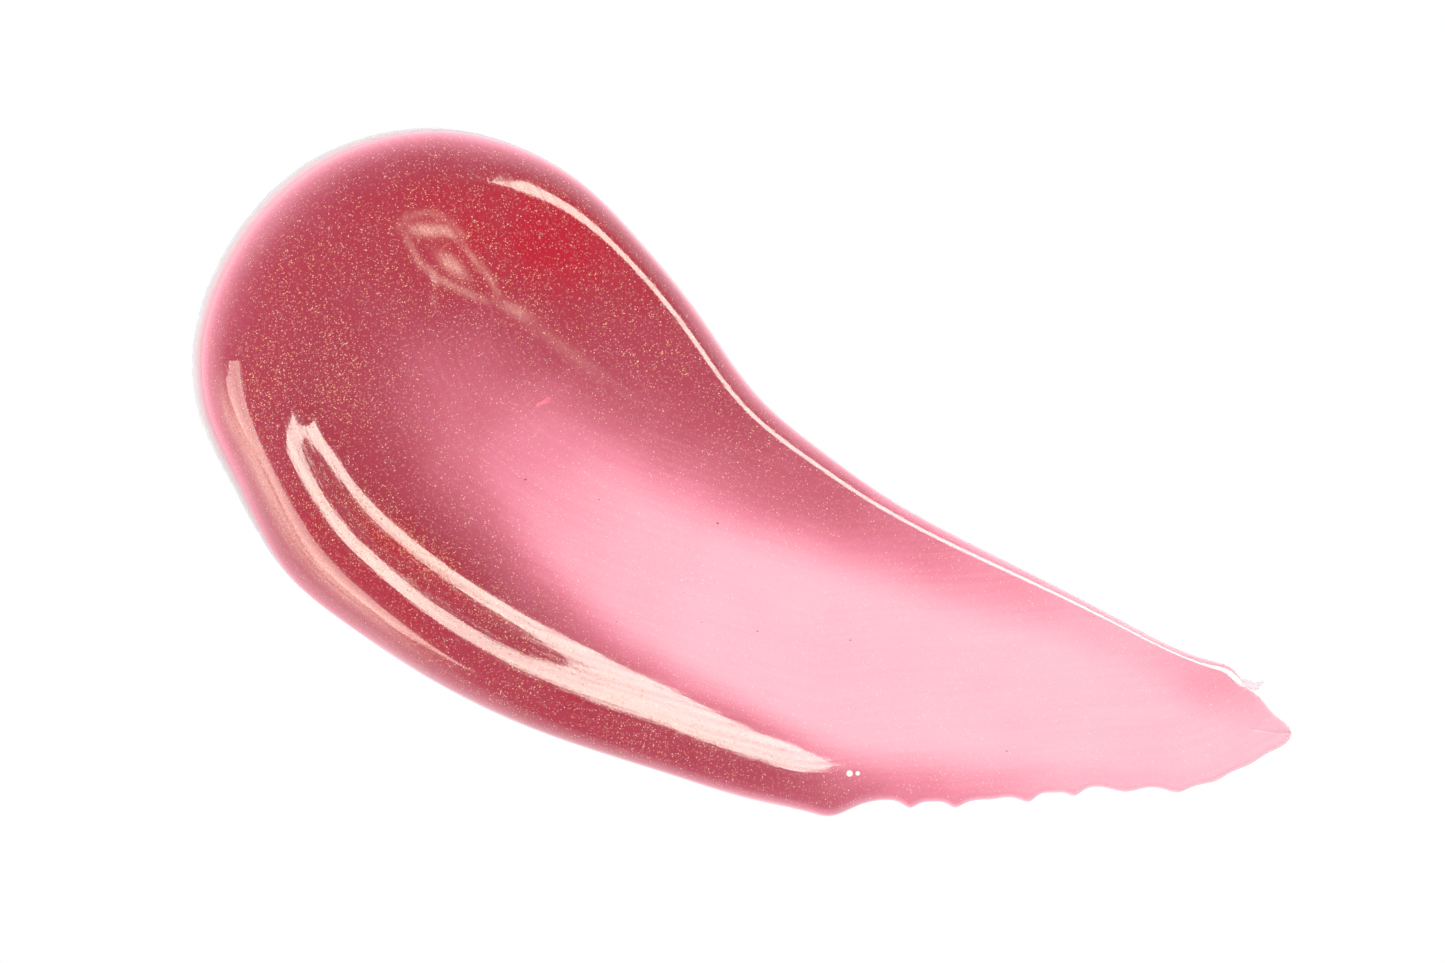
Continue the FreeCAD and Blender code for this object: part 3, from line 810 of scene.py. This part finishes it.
class GLOSS_OT_rim(bpy.types.Operator):
    """Add the clear oil that has crept out round the head, and the clear spur at the tail"""

    bl_idname = "gloss.rim"
    bl_label = "Clear oil"

    def execute(self, context):
        near, far = footprint()
        material = rim_material()
        parts = []
        for path, end in ((far, RIM_FAR_END), (near, RIM_NEAR_END)):
            shares = np.linspace(0, end, 500)
            parts.append((at_shares(path, shares), rim_width(shares, end)))
        line = np.concatenate([parts[0][0][::-1], parts[1][0][1:]])
        width = np.concatenate([parts[0][1][::-1], parts[1][1][1:]])
        run, full = lengths_along(line), width / (settings().rim_width / MM)
        ragged = 0.04 * (1 + waves(11, 9, 0.5, 4.0, run)) * full
        outer = inset(line, 1, ragged)
        inner = inset(line, 1, width + 0.3)
        across = np.array([0.0, 0.06, 0.2, 0.45, 0.75, 1.0])
        height = settings().rim_depth / MM * np.sqrt(full)[:, None] * (1 - (1 - across[None]) ** 2)
        plan = outer[:, None] + (inner - outer)[:, None] * across[None, :, None]
        top = np.concatenate([plan, height[:, :, None]], 2)
        under = np.concatenate([inner, np.zeros((len(inner), 1))], 1)[:, None]
        keep = width > 0.01
        points, faces = loft(np.concatenate([top, under], 1)[keep])
        tone = np.tile(np.append(across, 1.0), keep.sum())
        new_piece("creeping_rim", points, faces, material, ("clear_rim",),
                  values={"across": tone})

        low, high = (np.array(corner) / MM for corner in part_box("tail_spur"))
        middle, half = (low + high) / 2, (high - low) / 2
        shape = np.array([(-1.0, -1.0), (-0.2, -1.0), (0.45, -0.95), (0.62, -0.3), (0.85, 0.15), (1.0, 0.6),
                          (0.8, 0.75), (0.4, 0.45), (-0.1, 0.65), (-0.6, 0.95), (-1.0, 1.0)])
        edge = closed_spline(shape * half[:2] * 0.97 + middle[:2], 6)
        rings = [np.concatenate([middle[:2] + (edge - middle[:2]) * scale, np.full((len(edge), 1), z)], 1)
                 for scale, z in ((1.0, 0.0), (0.98, 0.03), (0.85, 0.06), (0.5, high[2]))]
        points, faces = loft(rings)
        new_piece("thrown_spur", points, faces, material, ("tail_spur",),
                  values={"across": np.full(len(points), 0.22)})
        return {"FINISHED"}


class GLOSS_OT_details(bpy.types.Operator):
    """Add the paste streak, the dark grains and the two air bubbles at the surface"""

    bl_idname = "gloss.details"
    bl_label = "Streak, grains and bubbles"

    def execute(self, context):
        field = gel_field()
        self.streak(field)
        self.grains(field)
        self.bubbles(field)
        return {"FINISHED"}

    def streak(self, field):
        """A ragged spindle of paste, sunk into the gel where the CAD has it."""
        low, high = (np.array(corner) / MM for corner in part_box("pigment_streak"))
        middle = (low + high) / 2
        turn, half, breadth, rise, sunk = math.radians(32), 0.50, 0.13, 0.035, 0.01
        along = np.linspace(-1, 1, 25)
        girth = np.sqrt(np.clip(1 - along ** 2, 0.0, 1)) * (1 + 0.25 * np.sin(5 * along))
        angle = np.linspace(0, 2 * math.pi, 12, endpoint=False)
        axis = np.array([math.cos(turn), math.sin(turn)])
        side = np.array([-math.sin(turn), math.cos(turn)])
        base = field.height_at(middle[:2]) - sunk
        rings = []
        for a, g in zip(along, girth + 0.02):
            plan = middle[:2] + axis * a * half + np.cos(angle)[:, None] * side * g * breadth
            rings.append(np.column_stack([plan, base + rise * g * np.sin(angle)]))
        points, faces = loft(rings)
        new_piece("paste_streak", points, faces, paste_material(), ("pigment_streak",))

    def grains(self, field):
        """A crushed grain for each of the CAD's, as wide and in the same place, at the gel's surface."""
        rng = np.random.default_rng(5)
        turns = np.linspace(0, 2 * math.pi, 9, endpoint=False)
        skins = []
        for middle, half in cad_islands("dark_grains"):
            height = field.height_at(middle[:2])
            reach = half[:2].max() * rng.uniform(0.6, 1.15, len(turns))
            away = np.stack([np.cos(turns), np.sin(turns) * 0.65], 1) * reach[:, None]
            skins.append(loft([at_level(middle[:2] + away * grow, height + z)
                               for grow, z in ((0.7, -0.03), (1.0, -0.005), (0.75, 0.025), (0.3, 0.04))]))
        points, faces = joined(skins)
        new_piece("pigment_grains", points, faces, grain_material(), ("dark_grains",))

    def bubbles(self, field):
        """A low dome for each of the CAD's bubbles, closed below the gel's surface."""
        turns = np.linspace(0, 2 * math.pi, 20, endpoint=False)
        circle = np.stack([np.cos(turns), np.sin(turns)], 1)
        skins, lifts = [], []
        for middle, half in cad_islands("air_bubbles"):
            height, radius = field.height_at(middle[:2]), half[0]
            rings = []
            for lift in np.radians([-60, -30, 0, 15, 30, 45, 60, 75, 86]):
                plan = middle[:2] + circle * radius * math.cos(lift)
                rings.append(at_level(plan, height + radius * 0.8 * math.sin(lift)))
                # How high each ring stands, which the colour turns near white at the top, partly as a
                # painted highlight.
                lifts += [max(math.sin(lift), 0.0)] * len(turns)
            skins.append(loft(rings))
        points, faces = joined(skins)
        new_piece("surface_bubbles", points, faces, bubble_material(), ("air_bubbles",),
                  values={"lift": lifts})


class GLOSS_OT_flakes(bpy.types.Operator):
    """Scatter the mica: gold flakes thick in the deep gel, and paler pearl flakes in the film"""

    bl_idname = "gloss.flakes"
    bl_label = "Mica flakes"

    def execute(self, context):
        field = gel_field()
        gold = [(0.0, lit(214, 112, 84)), (0.35, lit(232, 152, 112)), (0.7, lit(246, 192, 146)),
                (1.0, lit(255, 232, 200))]
        pearl = [(0.0, lit(246, 176, 190)), (0.4, lit(250, 202, 206)), (0.75, lit(252, 216, 212)),
                 (1.0, lit(255, 230, 224))]
        self.scatter(field, "gold_mica", settings().gold_flakes, bias=2.2, radii=(0.014, 0.030), seed=21,
                     material=flake_material("gold_mica", gold, 0.1), node="gold_flakes")
        self.scatter(field, "pearl_mica", settings().pearl_flakes, bias=-0.4, radii=(0.012, 0.024), seed=22,
                     material=flake_material("pearl_mica", pearl, 0.0), node="pearl_flakes")
        return {"FINISHED"}

    def crowding(self, field, bias, seed):
        """The chance of a flake at each grid point: its area, its tint to the power of the bias, and clumps.

        The fold and the near flank's streak of painted reflection are nearly clear of flakes, two places
        hold more, and none lies over the edge.
        """
        area = np.abs(np.cross(np.gradient(field.plan, axis=0), np.gradient(field.plan, axis=1)))
        clump = 1 + 0.6 * waves(seed, 14, 2.0, 9.0, field.plan[:, :, 0], field.plan[:, :, 1]) * 3
        weight = area * np.clip(field.tint, 0.1, 2.0) ** bias * np.clip(clump, 0.3, 2.5)
        weight *= 1 - 0.75 * field.fold_and_sheen
        flat = field.plan.reshape(-1, 2)
        dense = sum(share * mound(flat, *place) for share, place in THICK_MICA)
        weight *= 1 + dense.reshape(weight.shape)
        weight[:3] = weight[-3:] = 0
        weight[:, :6] = weight[:, -6:] = 0
        return weight / weight.sum()

    def scatter(self, field, slot, count, bias, radii, seed, material, node):
        """Tilted six-sided flakes just above the surface, each with a tone and a UV cell of its own."""
        rng = np.random.default_rng(seed)
        pick = rng.choice(ROWS * COLUMNS, count, p=self.crowding(field, bias, seed).ravel())
        row = pick // COLUMNS + rng.uniform(-0.5, 0.5, count)
        column = pick % COLUMNS + rng.uniform(-0.5, 0.5, count)
        where = field.at(np.clip(row, 1, ROWS - 2), np.clip(column, 1, COLUMNS - 2))
        first, second, up = tilted(where[:, 4:7], np.abs(rng.normal(0, 0.22, count)),
                                   rng.uniform(0, 2 * math.pi, count))
        size = rng.uniform(*radii, count)
        ring = np.arange(6) * math.pi / 3
        first *= rng.uniform(1.0, 1.9, count)[:, None]
        spread = size[:, None] * rng.uniform(0.65, 1.1, (count, 6))
        centre = where[:, :3] + up * 0.006
        edge = centre[:, None] + first[:, None] * (np.cos(ring) * spread)[:, :, None]
        edge = edge + second[:, None] * (np.sin(ring) * spread)[:, :, None]
        thick = up * 0.009
        points = np.concatenate([edge, (centre + thick)[:, None], (centre - thick)[:, None]], 1)
        k = np.arange(6)
        over, under = np.full(6, 6), np.full(6, 7)
        shape = np.concatenate([np.stack([k, (k + 1) % 6, over], 1), np.stack([(k + 1) % 6, k, under], 1)])
        faces = (shape[None] + 8 * np.arange(count)[:, None, None]).reshape(-1, 3).tolist()
        cells = int(math.ceil(math.sqrt(count)))
        cell = np.stack([np.arange(count) % cells, np.arange(count) // cells], 1) / cells
        offset = np.concatenate([np.stack([np.cos(ring), np.sin(ring)], 1) * 0.35, [[0, 0], [0, 0]]]) + 0.5
        uv = (cell[:, None] + offset[None] / cells).reshape(-1, 2)
        tone = np.repeat(rng.beta(1.6, 2.2, count), 8)
        new_piece(slot + "_flakes", points.reshape(-1, 3), faces, material, (node,),
                  flat=slice(None), values={"tone": tone}, uv=uv, turn_out=False)


# The lamps: azimuth and angle from straight up in degrees, distance, width and height in metres, radiance,
# colour, and whether the gel mirrors them.
WHITE = (1.0, 1.0, 1.0)
LAMPS = [
    ("key_softbox", 47.5, 51, 0.40, 0.39, 0.14, 9.4, (0.95, 1.0, 0.86), True),
    ("left_strip", 206, 51, 0.40, 0.36, 0.24, 4.6, (1.0, 0.88, 0.76), True),
    ("top_fill", 0, 0, 1.0, 1.2, 1.2, 0.50, WHITE, False),
    *[("low_fill", azimuth, 72, 1.0, 0.9, 0.5, radiance, WHITE, False)
      for azimuth, radiance in ((35, 2.2), (125, 3.0), (215, 4.4), (305, 4.0))],
]

# What the camera looks down on, and how wide a field it sees, in millimetres.
CAMERA_X, CAMERA_Y, VIEW_WIDE = -0.86, -0.43, 65.68


def studio_world():
    """Pale walls round a dimmer ceiling."""
    world = bpy.data.worlds.new("studio")
    world.use_nodes = True
    tree = world.node_tree
    sky = tree.nodes.new("ShaderNodeTexCoord")
    split = tree.nodes.new("ShaderNodeSeparateXYZ")
    ramp = tree.nodes.new("ShaderNodeValToRGB")
    tree.links.new(sky.outputs["Generated"], split.inputs[0])
    tree.links.new(split.outputs["Z"], ramp.inputs["Fac"])
    tree.links.new(ramp.outputs["Color"], tree.nodes["Background"].inputs["Color"])
    for element, (place, level) in zip(ramp.color_ramp.elements, ((0.12, 0.95), (0.36, 0.26))):
        element.position, element.color = place, (level, level, level, 1)
    tree.nodes["Background"].inputs["Strength"].default_value = 0.9
    return world


class GLOSS_OT_stage(bpy.types.Operator):
    """Add the pale floor, the studio lights and the camera"""

    bl_idname = "gloss.stage"
    bl_label = "Stage"

    def execute(self, context):
        scene = context.scene
        mesh = bpy.data.meshes.new("floor")
        reach = 3.0
        mesh.from_pydata([(-reach, -reach, -1e-5), (reach, -reach, -1e-5), (reach, reach, -1e-5),
                          (-reach, reach, -1e-5)], [], [(0, 1, 2, 3)])
        floor = bpy.data.objects.new("floor", mesh)
        scene.collection.objects.link(floor)
        s = Surface("floor_white", Base_Color=(0.0, 0.0, 0.0, 1), Emission_Color=(1, 1, 1, 1),
                    Emission_Strength=1.0, Specular_IOR_Level=0.0)
        mesh.materials.append(s.material)

        for name, azimuth, polar, distance, wide, high, radiance, colour, mirrored in LAMPS:
            lamp = bpy.data.lights.new(name, "AREA")
            lamp.shape, lamp.size, lamp.size_y = "RECTANGLE", wide, high
            lamp.energy, lamp.color = radiance * math.pi * wide * high, colour
            box = bpy.data.objects.new(name, lamp)
            a, p = math.radians(azimuth), math.radians(polar)
            out = Vector((math.sin(p) * math.cos(a), math.sin(p) * math.sin(a), math.cos(p)))
            box.location = out * distance
            box.rotation_euler = out.to_track_quat("Z", "Y").to_euler()
            box.visible_camera, box.visible_glossy = False, mirrored
            scene.collection.objects.link(box)
        scene.world = studio_world()

        lens = bpy.data.cameras.new("camera")
        lens.lens, lens.sensor_width, lens.clip_end = 200, 36, 10
        camera = bpy.data.objects.new("camera", lens)
        camera.location = (CAMERA_X * MM, CAMERA_Y * MM, VIEW_WIDE * MM * lens.lens / lens.sensor_width)
        scene.collection.objects.link(camera)
        scene.camera = camera
        scene.view_settings.view_transform = "Standard"
        return {"FINISHED"}


class GLOSS_PT_panel(bpy.types.Panel):
    bl_label = "Lip gloss smear"
    bl_idname = "GLOSS_PT_panel"
    bl_space_type = "VIEW_3D"
    bl_region_type = "UI"
    bl_category = "Gloss"

    def draw(self, context):
        for name in GLOSS_PG_settings.__annotations__:
            self.layout.prop(context.scene.gloss_settings, name)
        for operator in OPERATORS:
            self.layout.operator(operator.bl_idname)


OPERATORS = (GLOSS_OT_gel, GLOSS_OT_rim, GLOSS_OT_details, GLOSS_OT_flakes, GLOSS_OT_stage)
CLASSES = (GLOSS_PG_settings, *OPERATORS, GLOSS_PT_panel)


def register():
    for cls in CLASSES:
        bpy.utils.register_class(cls)
    bpy.types.Scene.gloss_settings = PointerProperty(type=GLOSS_PG_settings)


def unregister():
    del bpy.types.Scene.gloss_settings
    for cls in reversed(CLASSES):
        bpy.utils.unregister_class(cls)


def main():
    register()
    bpy.ops.gloss.gel()
    bpy.ops.gloss.rim()
    bpy.ops.gloss.details()
    bpy.ops.gloss.flakes()
    bpy.ops.gloss.stage()


if __name__ == "__main__":
    main()
